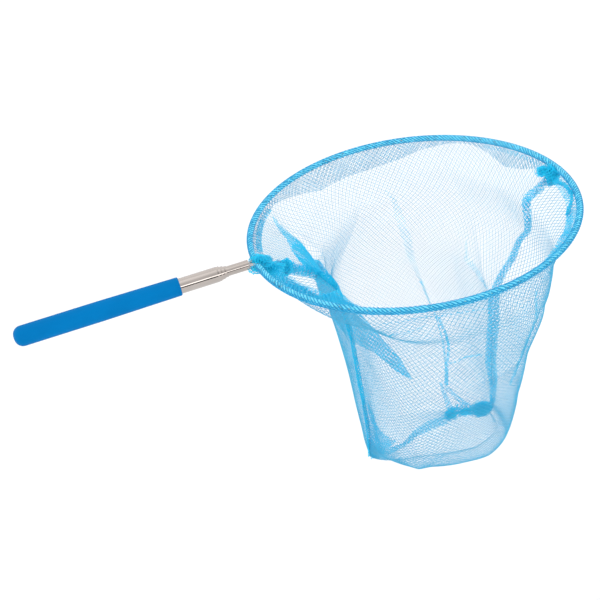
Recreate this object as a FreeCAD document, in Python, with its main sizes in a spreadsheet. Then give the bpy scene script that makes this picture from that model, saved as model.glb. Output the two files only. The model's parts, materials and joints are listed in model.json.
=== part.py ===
import FreeCAD, Part
import math
import os
import Sketcher
from FreeCAD import Vector

# A hand-held telescopic dip net: a sleeved pole of four nested tubes that draws out, and a
# round wire hoop on the innermost tube with a deep mesh bag hanging from it. The pole lies
# along X, the net is towards +X and the bag hangs towards -Z. The origin is on the pole's
# axis, in the middle of the grip's straight rear part.

doc = FreeCAD.newDocument("dip_net")

# Driving dimensions, in millimetres
SIZES = [
    ("grip_length", 107.8, "grip sleeve, butt tip to front edge"),
    ("grip_straight_length", 50.0, "cylindrical rear part of the grip"),
    ("grip_rear_diameter", 13.3, "grip over its straight part"),
    ("grip_front_diameter", 12.3, "grip at its front edge"),
    ("butt_rounding", 5.5, "radius of the closed rear end"),
    ("grip_front_rounding", 0.8, "radius of the front edge"),
    ("butt_wall", 3.0, "plastic behind the tube"),
    ("sleeve_fit", 0.03, "radial gap between the sleeve and the tube"),
    ("plug_flange", 1.5, "rear plug's rim behind the tube"),
    ("plug_depth", 5.0, "rear plug's spigot inside the tube"),
    ("plug_fit", 0.02, "radial gap of plugs and bushes on their seats"),
    ("outer_diameter", 10.2, "outer tube"),
    ("second_diameter", 9.0, "second tube"),
    ("third_diameter", 7.8, "third tube"),
    ("inner_diameter", 6.6, "innermost tube"),
    ("tube_wall", 0.35, "wall of every tube"),
    ("neck_length", 2.0, "drawn-in mouth of a tube"),
    ("neck_clearance", 0.06, "radial running gap in a tube's mouth"),
    ("outer_reach", 27.0, "outer tube in front of the grip"),
    ("mouth_step", 2.4, "how far each mouth stands in front of the one around it"),
    ("inner_reach", 14.6, "innermost tube in front of the third mouth"),
    ("rest_gap", 0.3, "between the pushed-in tubes and the rear plug"),
    ("bush_length", 3.0, "brass ring on the rear end of a moving tube"),
    ("spring_length", 10.0, "split friction sleeve in front of the bush"),
    ("slide_clearance", 0.05, "radial running gap of bushes and friction sleeves"),
    ("swivel_gap", 0.1, "end gap of the friction sleeve that the inner tube turns in"),
    ("spring_opening", 60.0, "open angle of a friction sleeve, degrees"),
    ("wire_diameter", 2.4, "hoop wire"),
    ("wire_pair_gap", 0.1, "between the two wire ends in the inner tube"),
    ("wire_leg_length", 20.0, "straight wire end inside the inner tube"),
    ("wire_leg_show", 0.3, "straight wire in front of the inner tube"),
    ("wire_bend_radius", 5.0, "bend from the wire end into the hoop"),
    ("wire_plug_length", 18.0, "plug that holds the wire ends in the inner tube"),
    ("wire_fit", 0.03, "gap round the wire in its plug"),
    ("hoop_diameter", 222.0, "outer edge of the wrapped hoop"),
    ("hem_diameter", 4.2, "hem casing rolled round the wire"),
    ("hem_fit", 0.1, "radial gap between the wire and the hem casing"),
    ("hem_bend_share", 50.0, "how far the hem follows the wire's bend, degrees"),
    ("bag_seat", 0.3, "between the hem casing and the panels"),
    ("panel_wall", 0.6, "mesh panels"),
    ("seam_wall", 1.2, "doubled seam allowances"),
    ("seam_width", 7.0, "seam allowances, edge to edge"),
    ("seam_corner", 5.0, "height of the bottom seam's turned-up ends"),
    ("section_fullness", 0.77, "how full the bag's sections are at their diagonals"),
    ("section_spacing", 13.0, "between the sections that the bag's skin passes through"),
    ("collar_drop", 12.0, "collar level, below the hoop's centre line"),
    ("collar_pole_side", 18.9, "pole-side seam there, drawn in from the wire"),
    ("collar_far_side", 12.9, "far seam there, drawn in from the wire"),
    ("collar_spread", 4.9, "front and back there, drawn in from the wire"),
    ("shoulder_drop", 14.0, "shoulder, where the pole-side seam turns down, below the collar"),
    ("shoulder_pole_side", 39.9, "pole-side seam there, drawn in from the wire"),
    ("shoulder_far_side", 22.9, "far seam there, drawn in from the wire"),
    ("shoulder_spread", 7.9, "front and back there, drawn in from the wire"),
    ("chest_drop", 16.0, "chest, where the far seam turns inward, below the shoulder"),
    ("chest_pole_side", 49.9, "pole-side seam there, drawn in from the wire"),
    ("chest_far_side", 24.9, "far seam there, drawn in from the wire"),
    ("chest_spread", 11.9, "front and back there, drawn in from the wire"),
    ("belly_drop", 46.0, "belly, where the bag is round, below the chest"),
    ("belly_pole_side", 54.9, "pole-side seam there, drawn in from the wire"),
    ("belly_far_side", 51.9, "far seam there, drawn in from the wire"),
    ("belly_spread", 19.9, "front and back there, drawn in from the wire"),
    ("waist_drop", 57.0, "waist, below the belly"),
    ("waist_pole_side", 55.4, "pole-side seam there, drawn in from the wire"),
    ("waist_far_side", 55.9, "far seam there, drawn in from the wire"),
    ("waist_spread", 39.9, "front and back there, drawn in from the wire"),
    ("skirt_drop", 40.0, "skirt, just above the base, below the waist"),
    ("skirt_pole_side", 54.9, "pole-side seam there, drawn in from the wire"),
    ("skirt_far_side", 55.9, "far seam there, drawn in from the wire"),
    ("skirt_spread", 59.9, "front and back there, drawn in from the wire"),
    ("base_drop", 14.0, "base, where the bag starts to round under, below the skirt"),
    ("base_pole_side", 53.9, "bottom seam's pole-side end, drawn in from the wire"),
    ("base_far_side", 55.9, "bottom seam's far end, drawn in from the wire"),
    ("base_spread", 72.9, "front and back there, drawn in from the wire"),
    ("floor_drop", 4.5, "underside of the bag, below the base"),
    ("floor_inset", 8.0, "how far the bag's floor is smaller than its base"),
    ("hem_band", 16.0, "plain band of each panel below the hoop"),
    ("opening_pitch", 16.2, "between rows of openings"),
    ("bar_width", 2.0, "bars of cloth between the openings"),
    ("seam_angle", 7.0, "between a side seam and the first opening, degrees"),
]
OPENINGS_ACROSS = 12
LEVELS = ("collar", "shoulder", "chest", "belly", "waist", "skirt", "base")

sheet = doc.addObject("Spreadsheet::Sheet", "sizes")
for row, (name, value, meaning) in enumerate(SIZES, start=1):
    sheet.set(f"A{row}", meaning)
    sheet.set(f"B{row}", str(value))
    sheet.setAlias(f"B{row}", name)
doc.recompute()


class Size:
    """A size worked out from the sheet: its number, and the expression that binds to it."""

    def __init__(self, value, text):
        self.value = value
        self.text = text

    def __add__(self, other):
        return Size(self.value + other.value, f"({self.text} + {other.text})")

    def __sub__(self, other):
        return Size(self.value - other.value, f"({self.text} - {other.text})")

    def __neg__(self):
        return Size(-self.value, f"(-{self.text})")

    def half(self):
        return Size(self.value / 2, f"({self.text} / 2)")

    def times_sine(self, angle):
        share = math.sin(math.radians(angle.value))
        return Size(self.value * share, f"({self.text} * sin({angle.text}))")

    def other_side(self, side):
        """The third side of a right triangle that has this as its longest side."""
        return Size(math.sqrt(self.value ** 2 - side.value ** 2), f"sqrt({self.text}^2 - {side.text}^2)")


def size(name):
    return Size(float(sheet.get(name)), f"sizes.{name}")


CIRCLE_FULLNESS = math.cos(math.pi / 4)
NOTHING = Size(0.0, "0")
FULL_TURN = Size(360.0, "360")

# Places along the pole, worked out from the driving dimensions
wall = size("tube_wall")
butt_tip = -(size("grip_straight_length").half() + size("butt_rounding"))
grip_front = butt_tip + size("grip_length")
taper_start = size("grip_straight_length").half()
plug_rear = butt_tip + size("butt_wall")
outer_rear = plug_rear + size("plug_flange")
inner_rear = outer_rear + size("plug_depth") + size("rest_gap")
spring_rear = inner_rear + size("bush_length")
spring_front = spring_rear + size("spring_length")
outer_front = grip_front + size("outer_reach")
second_front = outer_front + size("mouth_step")
third_front = second_front + size("mouth_step")
inner_front = third_front + size("inner_reach")
TUBES = {
    "outer": (size("outer_diameter"), outer_rear, outer_front),
    "second": (size("second_diameter"), inner_rear, second_front),
    "third": (size("third_diameter"), inner_rear, third_front),
    "inner": (size("inner_diameter"), inner_rear, inner_front),
}

pieces = []


# Helpers for sketches whose points are tied to the sheet
def origin_plane(body, role):
    return next(feature for feature in body.Origin.OriginFeatures if feature.Role == role)


def new_body(label):
    body = doc.addObject("PartDesign::Body", label)
    body.Label = label
    pieces.append(body)
    return body


def flat_sketch(body, name, role, offset=NOTHING):
    """A sketch on one of the body's origin planes, moved along the plane's normal by offset."""
    sketch = body.newObject("Sketcher::SketchObject", name)
    sketch.AttachmentSupport = [(origin_plane(body, role), "")]
    sketch.MapMode = "FlatFace"
    if offset is not NOTHING:
        sketch.AttachmentOffset = FreeCAD.Placement(Vector(0, 0, offset.value), FreeCAD.Rotation())
        sketch.setExpression("AttachmentOffset.Base.z", offset.text)
    return sketch


def pin(sketch, edge, end, kind, axis, coordinate):
    """Tie one coordinate of a point to its size, or to an axis where the size is nothing."""
    if coordinate is NOTHING:
        sketch.addConstraint(Sketcher.Constraint("PointOnObject", edge, end, axis))
        return
    number = sketch.addConstraint(Sketcher.Constraint(kind, -1, 1, edge, end, coordinate.value))
    sketch.setExpression(f"Constraints[{number}]", coordinate.text)


def pin_across(sketch, edge, end, across):
    pin(sketch, edge, end, "DistanceX", -2, across)


def pin_up(sketch, edge, end, up):
    pin(sketch, edge, end, "DistanceY", -1, up)


def pin_point(sketch, edge, end, across, up):
    pin_across(sketch, edge, end, across)
    pin_up(sketch, edge, end, up)


def set_radius(sketch, edge, radius):
    number = sketch.addConstraint(Sketcher.Constraint("Radius", edge, radius.value))
    sketch.setExpression(f"Constraints[{number}]", radius.text)


def outline(sketch, corners):
    """Draw a closed outline through corners given as (across, up) sizes.

    A corner that also gives a centre is followed by an arc about it, drawn counter-clockwise.
    """
    points = [Vector(corner[0].value, corner[1].value, 0) for corner in corners]
    for (across, up, *centre), start, end in zip(corners, points, points[1:] + points[:1]):
        if not centre:
            edge = sketch.addGeometry(Part.LineSegment(start, end), False)
        else:
            middle = Vector(centre[0].value, centre[1].value, 0)
            circle = Part.Circle(middle, Vector(0, 0, 1), (start - middle).Length)
            first = math.atan2(start.y - middle.y, start.x - middle.x)
            last = math.atan2(end.y - middle.y, end.x - middle.x)
            edge = sketch.addGeometry(Part.ArcOfCircle(circle, first, last), False)
            pin_across(sketch, edge, 3, centre[0])
        pin_point(sketch, edge, 1, across, up)
    count = len(corners)
    for edge in range(count):
        sketch.addConstraint(Sketcher.Constraint("Coincident", edge, 2, (edge + 1) % count, 1))


def turned(label, rear, profile, turn=FULL_TURN):
    """A piece of revolution about the pole's axis, with its own zero at its rear end."""
    body = new_body(label)
    sketch = flat_sketch(body, f"{label}_profile", "XZ_Plane")
    outline(sketch, profile)
    spin = body.newObject("PartDesign::Revolution", f"{label}_turned")
    spin.Profile = sketch
    spin.ReferenceAxis = (sketch, ["H_Axis"])
    spin.Angle = turn.value
    if turn is not FULL_TURN:
        spin.setExpression("Angle", turn.text)
        spin.Midplane = True
    body.Placement.Base = Vector(rear.value, 0, 0)
    body.setExpression("Placement.Base.x", rear.text)


def ring(label, rear, length, inner, outer, turn=FULL_TURN):
    """A plain sleeve between two radii."""
    corners = [(NOTHING, inner), (length, inner), (length, outer), (NOTHING, outer)]
    turned(label, rear, corners, turn)


# The grip sleeve: soft plastic, closed and rounded at the butt, a little slimmer at the front
def grip_sleeve():
    bore = size("outer_diameter").half() + size("sleeve_fit")
    rear_radius = size("grip_rear_diameter").half()
    front_radius = size("grip_front_diameter").half()
    butt, edge = size("butt_rounding"), size("grip_front_rounding")
    length, floor = size("grip_length"), size("butt_wall")
    profile = [
        (NOTHING, NOTHING),
        (floor, NOTHING),
        (floor, bore),
        (length, bore),
        (length, front_radius - edge, length - edge, front_radius - edge),
        (length - edge, front_radius),
        (taper_start - butt_tip, rear_radius),
        (butt, rear_radius, butt, rear_radius - butt),
        (NOTHING, rear_radius - butt),
    ]
    turned("grip_sleeve", butt_tip, profile)


# The rear plug closes the outer tube and is what the pushed-in tubes stop against
def rear_plug():
    spigot = size("outer_diameter").half() - wall - size("plug_fit")
    flange = size("plug_flange")
    length = flange + size("plug_depth")
    profile = [
        (NOTHING, NOTHING),
        (length, NOTHING),
        (length, spigot),
        (flange, spigot),
        (flange, size("outer_diameter").half()),
        (NOTHING, size("outer_diameter").half()),
    ]
    turned("rear_plug", plug_rear, profile)


# The telescopic tubes: each has a mouth drawn in onto the next tube, so its bush can't leave
def drawn_tube(name, next_name):
    diameter, rear, front = TUBES[name]
    radius = diameter.half()
    mouth_bore = TUBES[next_name][0].half() + size("neck_clearance")
    mouth = front - rear
    neck_start = mouth - size("neck_length")
    neck_end = mouth - size("neck_length").half()
    profile = [
        (NOTHING, radius - wall),
        (neck_start, radius - wall),
        (neck_end, mouth_bore),
        (mouth, mouth_bore),
        (mouth, mouth_bore + wall),
        (neck_end, mouth_bore + wall),
        (neck_start, radius),
        (NOTHING, radius),
    ]
    turned(f"{name}_tube", rear, profile)


def inner_tube():
    diameter, rear, front = TUBES["inner"]
    ring("inner_tube", rear, front - rear, diameter.half() - wall, diameter.half())


# Each moving tube carries a brass bush on its rear end and a split friction sleeve before it
def running_parts(name, around, seat, end_gap):
    radius = TUBES[name][0].half()
    bore = TUBES[around][0].half() - wall
    running = bore - size("slide_clearance")
    ring(f"{name}_bush", inner_rear, size("bush_length") - end_gap, radius + size("plug_fit"), running)
    ring(f"{name}_spring", spring_rear, size("spring_length"), radius + seat, running,
         FULL_TURN - size("spring_opening"))


# Where the wire runs: its ends lie beside the pole's axis and each bends out into the ring
leg = (size("wire_diameter") + size("wire_pair_gap")).half()
bend = size("wire_bend_radius")
ring_radius = (size("hoop_diameter") - size("hem_diameter")).half()
leg_start = inner_front - size("wire_leg_length")
bend_start = inner_front + size("wire_leg_show")
hoop_centre = bend_start + (ring_radius + bend).other_side(leg + bend)
meeting_angle = math.asin((leg + bend).value / (ring_radius + bend).value)


def add_arc(sketch, centre, radius, first, last):
    """A counter-clockwise arc; returns its number in the sketch."""
    circle = Part.Circle(centre, Vector(0, 0, 1), radius.value)
    return sketch.addGeometry(Part.ArcOfCircle(circle, first, last), False)


def add_line(sketch, start, end):
    return sketch.addGeometry(Part.LineSegment(start, end), False)


def join_smoothly(sketch, edge, end, other, other_end):
    sketch.addConstraint(Sketcher.Constraint("Tangent", edge, end, other, other_end))


def end_near(sketch, edge, spot):
    """Which end of an edge lies at a spot."""
    return min((1, 2), key=lambda end: sketch.getPoint(edge, end).distanceToPoint(spot))


def round_section(body, role, offset, across, radii):
    """Circles round the point where a path starts."""
    sketch = flat_sketch(body, f"{body.Label}_section", role, offset)
    for edge, radius in enumerate(radii):
        sketch.addGeometry(Part.Circle(Vector(across.value, 0, 0), Vector(0, 0, 1), radius.value), False)
        pin_point(sketch, edge, 3, across, NOTHING)
        set_radius(sketch, edge, radius)
    return sketch


def pipe_along(body, section, path, edges):
    pipe = body.newObject("PartDesign::AdditivePipe", f"{body.Label}_pipe")
    pipe.Profile = section
    pipe.Spine = (path, edges)


# The hoop wire: two straight ends side by side in the tube, two bends and nearly a full ring
def hoop_wire():
    body = new_body("hoop_wire")
    path = flat_sketch(body, "hoop_wire_path", "XY_Plane")
    turn = math.pi / 2 - meeting_angle
    legs = [
        add_line(path, Vector(leg_start.value, height, 0), Vector(bend_start.value, height, 0))
        for height in (leg.value, -leg.value)
    ]
    upper_bend = add_arc(
        path, Vector(bend_start.value, (leg + bend).value, 0), bend, -math.pi / 2, -math.pi / 2 + turn)
    loop = add_arc(path, Vector(hoop_centre.value, 0, 0), ring_radius,
                   -math.pi + meeting_angle, math.pi - meeting_angle)
    lower_bend = add_arc(
        path, Vector(bend_start.value, -(leg + bend).value, 0), bend, math.pi / 2 - turn, math.pi / 2)
    for line, side in zip(legs, (leg, -leg)):
        pin_point(path, line, 1, leg_start, side)
        pin_point(path, line, 2, bend_start, side)
    join_smoothly(path, legs[0], 2, upper_bend, 1)
    join_smoothly(path, upper_bend, 2, loop, 2)
    join_smoothly(path, lower_bend, 1, loop, 1)
    join_smoothly(path, legs[1], 2, lower_bend, 2)
    set_radius(path, upper_bend, bend)
    set_radius(path, loop, ring_radius)
    path.addConstraint(Sketcher.Constraint("PointOnObject", loop, 3, -1))
    section = round_section(body, "YZ_Plane", leg_start, leg, [size("wire_diameter").half()])
    order = (legs[0], upper_bend, loop, lower_bend, legs[1])
    pipe_along(body, section, path, [f"Edge{edge + 1}" for edge in order])


# The plug in the innermost tube's mouth, with one slot that holds both wire ends
def wire_plug():
    body = new_body("wire_plug")
    face = flat_sketch(body, "wire_plug_face", "YZ_Plane")
    plug_radius = size("inner_diameter").half() - wall - size("plug_fit")
    rim = face.addGeometry(Part.Circle(Vector(0, 0, 0), Vector(0, 0, 1), plug_radius.value), False)
    face.addConstraint(Sketcher.Constraint("Coincident", rim, 3, -1, 1))
    set_radius(face, rim, plug_radius)
    slot = size("wire_diameter").half() + size("wire_fit")
    low_side = add_line(face, Vector(leg.value, -slot.value, 0), Vector(-leg.value, -slot.value, 0))
    left_end = add_arc(face, Vector(-leg.value, 0, 0), slot, math.pi / 2, 3 * math.pi / 2)
    high_side = add_line(face, Vector(-leg.value, slot.value, 0), Vector(leg.value, slot.value, 0))
    right_end = add_arc(face, Vector(leg.value, 0, 0), slot, -math.pi / 2, math.pi / 2)
    join_smoothly(face, low_side, 2, left_end, 2)
    join_smoothly(face, left_end, 1, high_side, 1)
    join_smoothly(face, high_side, 2, right_end, 2)
    join_smoothly(face, right_end, 1, low_side, 1)
    pin_point(face, left_end, 3, -leg, NOTHING)
    pin_point(face, right_end, 3, leg, NOTHING)
    set_radius(face, right_end, slot)
    length = body.newObject("PartDesign::Pad", "wire_plug_length")
    length.Profile = face
    length.Length = size("wire_plug_length").value
    length.setExpression("Length", size("wire_plug_length").text)
    rear = inner_front - size("wire_plug_length")
    body.Placement.Base = Vector(rear.value, 0, 0)
    body.setExpression("Placement.Base.x", rear.text)


# The hem casings, front and back: mesh rolled round the wire from the far seam to the pole
def hem_casing(label, side):
    body = new_body(label)
    path = flat_sketch(body, f"{label}_path", "XY_Plane")
    share = math.radians(size("hem_bend_share").value)
    middle = Vector(hoop_centre.value, 0, 0)
    bend_height = leg + bend
    edge_height = bend_height - bend.times_sine(size("hem_bend_share"))
    if side > 0:
        loop = add_arc(path, middle, ring_radius, 0, math.pi - meeting_angle)
        turn = add_arc(path, Vector(bend_start.value, bend_height.value, 0), bend, -share, -meeting_angle)
    else:
        bend_height, edge_height = -bend_height, -edge_height
        loop = add_arc(path, middle, ring_radius, -math.pi + meeting_angle, 0)
        turn = add_arc(path, Vector(bend_start.value, bend_height.value, 0), bend, meeting_angle, share)
    far_point = Vector((hoop_centre + ring_radius).value, 0, 0)
    far_end = end_near(path, loop, far_point)
    free_end = end_near(path, turn, Vector(bend_start.value, 0, 0))
    pin_point(path, loop, far_end, hoop_centre + ring_radius, NOTHING)
    path.addConstraint(Sketcher.Constraint("PointOnObject", loop, 3, -1))
    set_radius(path, loop, ring_radius)
    join_smoothly(path, loop, 3 - far_end, turn, 3 - free_end)
    pin_point(path, turn, 3, bend_start, bend_height)
    pin_up(path, turn, free_end, edge_height)
    bore = size("wire_diameter").half() + size("hem_fit")
    across = hoop_centre + ring_radius
    section = round_section(body, "XZ_Plane", NOTHING, across, [size("hem_diameter").half(), bore])
    pipe_along(body, section, path, [f"Edge{edge + 1}" for edge in (loop, turn)])


def add_shape(label, shape):
    feature = doc.addObject("Part::Feature", label)
    feature.Label = label
    feature.Shape = shape
    feature.Placement = FreeCAD.Placement()
    pieces.append(feature)


# The bag: ovals that pass through both side seams, blended between the named levels
def steady_slopes(depths, reaches):
    """Slopes at the named levels that let the blend between them neither overshoot nor wave."""
    steps = [
        (after - before) / (lower - upper)
        for upper, lower, before, after in zip(depths, depths[1:], reaches, reaches[1:])
    ]
    inner = [
        2 * one * two / (one + two) if one * two > 0 else 0.0 for one, two in zip(steps, steps[1:])
    ]
    return steps[:1] + inner + steps[-1:]


def reach_at(depth, depths, reaches):
    slopes = steady_slopes(depths, reaches)
    span = max(number for number in range(len(depths) - 1) if depths[number] <= depth)
    height = depths[span + 1] - depths[span]
    share = (depth - depths[span]) / height
    start = (1 + 2 * share) * (1 - share) ** 2 * reaches[span]
    start += share * (1 - share) ** 2 * height * slopes[span]
    end = share ** 2 * (3 - 2 * share) * reaches[span + 1]
    end -= share ** 2 * (1 - share) * height * slopes[span + 1]
    return start + end


def level_depths():
    """Depths below the hoop of the hoop itself and of each named level."""
    depths = [0.0]
    for level in LEVELS:
        depths.append(depths[-1] + size(f"{level}_drop").value)
    return depths


def section_wire(depth, reaches, inset):
    pole_side, far_side, spread = reaches
    middle = (far_side - pole_side) / 2
    half_width = (far_side + pole_side) / 2 - inset
    half_depth = spread - inset
    settled = min(1.0, depth / level_depths()[LEVELS.index("chest") + 1])
    full = CIRCLE_FULLNESS + settled * (size("section_fullness").value - CIRCLE_FULLNESS)
    spots = [(1, 0), (full, full), (0, 1), (-full, full), (-1, 0)]
    middle += hoop_centre.value
    halves = []
    for turn in (1, -1):
        points = [
            Vector(middle + turn * x * half_width, turn * y * half_depth, -depth) for x, y in spots
        ]
        curve = Part.BSplineCurve()
        across = Vector(0, turn, 0)
        curve.interpolate(points, InitialTangent=across, FinalTangent=-across, Scale=False)
        halves.append(curve.toShape())
    return Part.Wire(halves)


def bag_solid(inset, floor_gap):
    """The space inside a skin that lies inset from the bag's outer surface."""
    rim = (ring_radius + size("panel_wall").half()).value
    depths = level_depths()
    sides = [
        [rim] + [(ring_radius - size(f"{level}_{part}")).value for level in LEVELS]
        for part in ("pole_side", "far_side", "spread")
    ]
    base = depths[-1] - floor_gap
    count = round(base / size("section_spacing").value)
    wires = []
    for number in range(count + 1):
        depth = base * number / count
        reaches = [reach_at(depth, depths, side) for side in sides]
        wires.append(section_wire(depth, reaches, inset))
    floor = base + size("floor_drop").value
    wires.append(section_wire(floor, reaches, inset + size("floor_inset").value))
    return Part.makeLoft(wires, True, False)


def block(low, high):
    span = high - low
    return Part.makeBox(span.x, span.y, span.z, low)


def openings(side):
    """Wedges from the bag's middle outwards: a plain grid that stands for the fine mesh."""
    middle, reach = hoop_centre.value, size("hoop_diameter").value
    margin, bar = math.radians(size("seam_angle").value), size("bar_width").value
    step = (math.pi - 2 * margin) / OPENINGS_ACROSS
    pitch = size("opening_pitch").value
    rows = int((level_depths()[-1] - size("hem_band").value) / pitch)
    wedges = []
    for column in range(OPENINGS_ACROSS):
        centre_way = side * (margin + (column + 0.5) * step)
        tip = Vector(math.cos(centre_way), math.sin(centre_way), 0) * (bar / 2 / math.sin(step / 2))
        tip.x += middle
        edges = [centre_way - step / 2, centre_way + step / 2]
        corners = [tip] + [tip + Vector(math.cos(way), math.sin(way), 0) * reach for way in edges]
        face = Part.Face(Part.makePolygon(corners + corners[:1]))
        for row in range(rows):
            wedge = face.extrude(Vector(0, 0, bar - pitch))
            wedge.translate(Vector(0, 0, -size("hem_band").value - row * pitch))
            wedges.append(wedge)
    return wedges


def mesh_bag():
    panel, seam = size("panel_wall").value, size("seam_wall").value
    extra = (seam - panel) / 2
    far = size("hoop_diameter").value
    top = -(size("hem_diameter").value / 2 + size("bag_seat").value)
    base = level_depths()[-1]
    bottom = -base - far
    strip = size("seam_width").value / 2
    skin = bag_solid(0, 0).cut(bag_solid(panel, panel))
    band = bag_solid(-extra, -extra).cut(bag_solid(panel + extra, panel + extra))
    corner = extra - base + size("seam_corner").value
    middle = hoop_centre.value
    left, right = middle - far, middle + far
    front = block(Vector(left, -far, bottom), Vector(right, -strip, top))
    back = block(Vector(left, strip, bottom), Vector(right, far, top))
    add_shape("front_panel", skin.common(front).cut(openings(-1)))
    add_shape("back_panel", skin.common(back).cut(openings(1)))
    pole_half = block(Vector(left, -strip, corner), Vector(middle, strip, top))
    far_half = block(Vector(middle, -strip, corner), Vector(right, strip, top))
    floor_strip = block(Vector(left, -strip, bottom), Vector(right, strip, corner))
    add_shape("pole_side_seam", band.common(pole_half))
    add_shape("far_side_seam", band.common(far_half))
    add_shape("bottom_seam", band.common(floor_strip))


grip_sleeve()
rear_plug()
drawn_tube("outer", "second")
drawn_tube("second", "third")
drawn_tube("third", "inner")
inner_tube()
running_parts("second", "outer", size("plug_fit"), NOTHING)
running_parts("third", "second", size("plug_fit"), NOTHING)
running_parts("inner", "third", size("neck_clearance"), size("swivel_gap"))
wire_plug()
hoop_wire()
hem_casing("front_hem", -1)
hem_casing("back_hem", 1)
mesh_bag()

# Check every object, then write each piece to its own file
doc.recompute()
for item in doc.Objects:
    if "Invalid" in item.State or "Error" in item.State:
        raise RuntimeError(f"{item.Label} failed: {item.State}")
os.makedirs("parts", exist_ok=True)
for piece in pieces:
    if piece.Shape.isNull() or not piece.Shape.isValid():
        raise RuntimeError(f"{piece.Label} has no valid shape")
    piece.Shape.exportStep(f"parts/{piece.Label}.step")
    print(f"{piece.Label}: {len(piece.Shape.Solids)} solid, {piece.Shape.Volume:.1f} mm3")

# The travel of each stage, from its friction sleeve to the neck in front of it
for name in ("outer", "second", "third"):
    stop = TUBES[name][2] - size("neck_length") - spring_front - size("rest_gap")
    print(f"stage inside the {name} tube travels {stop.value:.2f} mm")
print(f"hoop centre at x = {hoop_centre.value:.2f} mm, inner front {inner_front.value:.2f} mm")
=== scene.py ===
import json
import math

import bpy
import numpy as np
from mathutils import Matrix, Vector


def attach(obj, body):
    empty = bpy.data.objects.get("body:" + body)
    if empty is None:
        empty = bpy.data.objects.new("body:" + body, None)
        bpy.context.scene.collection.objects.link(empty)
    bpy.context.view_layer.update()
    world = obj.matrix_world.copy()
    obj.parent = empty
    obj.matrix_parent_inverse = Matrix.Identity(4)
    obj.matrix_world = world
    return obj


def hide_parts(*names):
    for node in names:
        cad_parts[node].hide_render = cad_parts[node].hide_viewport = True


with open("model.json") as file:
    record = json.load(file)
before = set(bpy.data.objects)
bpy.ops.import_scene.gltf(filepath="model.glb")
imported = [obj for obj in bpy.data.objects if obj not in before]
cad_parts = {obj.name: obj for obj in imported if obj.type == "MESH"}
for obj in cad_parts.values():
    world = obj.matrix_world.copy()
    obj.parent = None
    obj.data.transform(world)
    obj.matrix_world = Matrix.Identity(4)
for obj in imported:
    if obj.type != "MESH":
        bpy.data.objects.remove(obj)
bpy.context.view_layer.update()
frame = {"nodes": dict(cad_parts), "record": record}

# Camera: off the pole's near side and above it, turned a little so that the net sits upright.
# Its place is in metres, its turns in degrees, its lens and sensor in millimetres
CAMERA_PLACE = (0.0423, -0.5400, 0.3394)
CAMERA_HEADING = 11.53
CAMERA_DIP = 34.49
CAMERA_ROLL = -11.36
CAMERA_LENS = 59.4
SENSOR_WIDTH = 36.0
bpy.ops.object.camera_add(location=CAMERA_PLACE)
camera = bpy.context.object
camera.name = "camera"
heading = Matrix.Rotation(-math.radians(CAMERA_HEADING), 4, "Z")
dip = Matrix.Rotation(math.radians(90 - CAMERA_DIP), 4, "X")
roll = Matrix.Rotation(math.radians(CAMERA_ROLL), 4, "Z")
camera.rotation_euler = (heading @ dip @ roll).to_euler()
camera.data.sensor_width = SENSOR_WIDTH
camera.data.lens = CAMERA_LENS
bpy.context.scene.camera = camera


# The grip: a sleeve of soft blue plastic with a closed round butt, moulded in one piece and pushed
# onto the outer tube. Its skin is satin, with a fine grain from the mould
def srgb(code):
    """The linear colour of a hex code."""
    parts = [int(code[place:place + 2], 16) / 255 for place in (0, 2, 4)]
    linear = [part / 12.92 if part <= 0.04045 else ((part + 0.055) / 1.055) ** 2.4 for part in parts]
    return (*linear, 1.0)


def add(material, kind, links=None, **settings):
    """Adds a node. links maps an input to a value, or to the output that feeds it."""
    node = material.node_tree.nodes.new(kind)
    for name, value in settings.items():
        setattr(node, name, value)
    for name, value in (links or {}).items():
        if isinstance(value, bpy.types.NodeSocket):
            material.node_tree.links.new(value, node.inputs[name])
        else:
            node.inputs[name].default_value = value
    return node


def new_material(name, **values):
    """A material with one shader, whose plain values are given by name."""
    material = bpy.data.materials.new(name)
    material.use_nodes = True
    shader = material.node_tree.nodes["Principled BSDF"]
    for key, value in values.items():
        shader.inputs[key.replace("_", " ")].default_value = value
    return material, shader


def feed(material, output, shader, name):
    material.node_tree.links.new(output, shader.inputs[name])


def mottled(material, places, scale, detail, low, high):
    """Patches that run between two colours. scale is how many go to a metre."""
    noise = add(material, "ShaderNodeTexNoise", {"Vector": places, "Scale": scale, "Detail": detail})
    ramp = add(material, "ShaderNodeValToRGB", {"Fac": noise.outputs["Fac"]})
    ramp.color_ramp.elements[0].position = 0.35
    ramp.color_ramp.elements[0].color = low
    ramp.color_ramp.elements[1].position = 0.65
    ramp.color_ramp.elements[1].color = high
    return ramp.outputs["Color"], noise.outputs["Fac"]


def bumped(material, height, distance, strength):
    bump = add(material, "ShaderNodeBump",
               {"Height": height, "Distance": distance, "Strength": strength})
    return bump.outputs["Normal"]


def object_places(material):
    return add(material, "ShaderNodeTexCoord").outputs["Object"]


def grip_plastic():
    """Satin plastic: patches of 17 mm in its dye, hardly seen, and a grain of 0.4 mm."""
    material, shader = new_material("grip_plastic", Roughness=0.5, Specular_IOR_Level=0.03)
    places = object_places(material)
    colour, _ = mottled(material, places, 60.0, 2.0, srgb("0071B3"), srgb("0075B8"))
    feed(material, colour, shader, "Base Color")
    grain = add(material, "ShaderNodeTexNoise", {"Vector": places, "Scale": 2500.0, "Detail": 3.0})
    feed(material, bumped(material, grain.outputs["Fac"], 0.0001, 0.25), shader, "Normal")
    return material


def give_finish(slot, material):
    """Gives a material to the pieces of the pole that the record lists under its slot."""
    for part in frame["record"]["subparts"]:
        if part["material_slot"] == slot:
            node = frame["nodes"][part["node"]]
            node.data.materials.clear()
            node.data.materials.append(material)
            for face in node.data.polygons:
                face.material_index = 0


give_finish("grip_plastic", grip_plastic())


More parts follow.
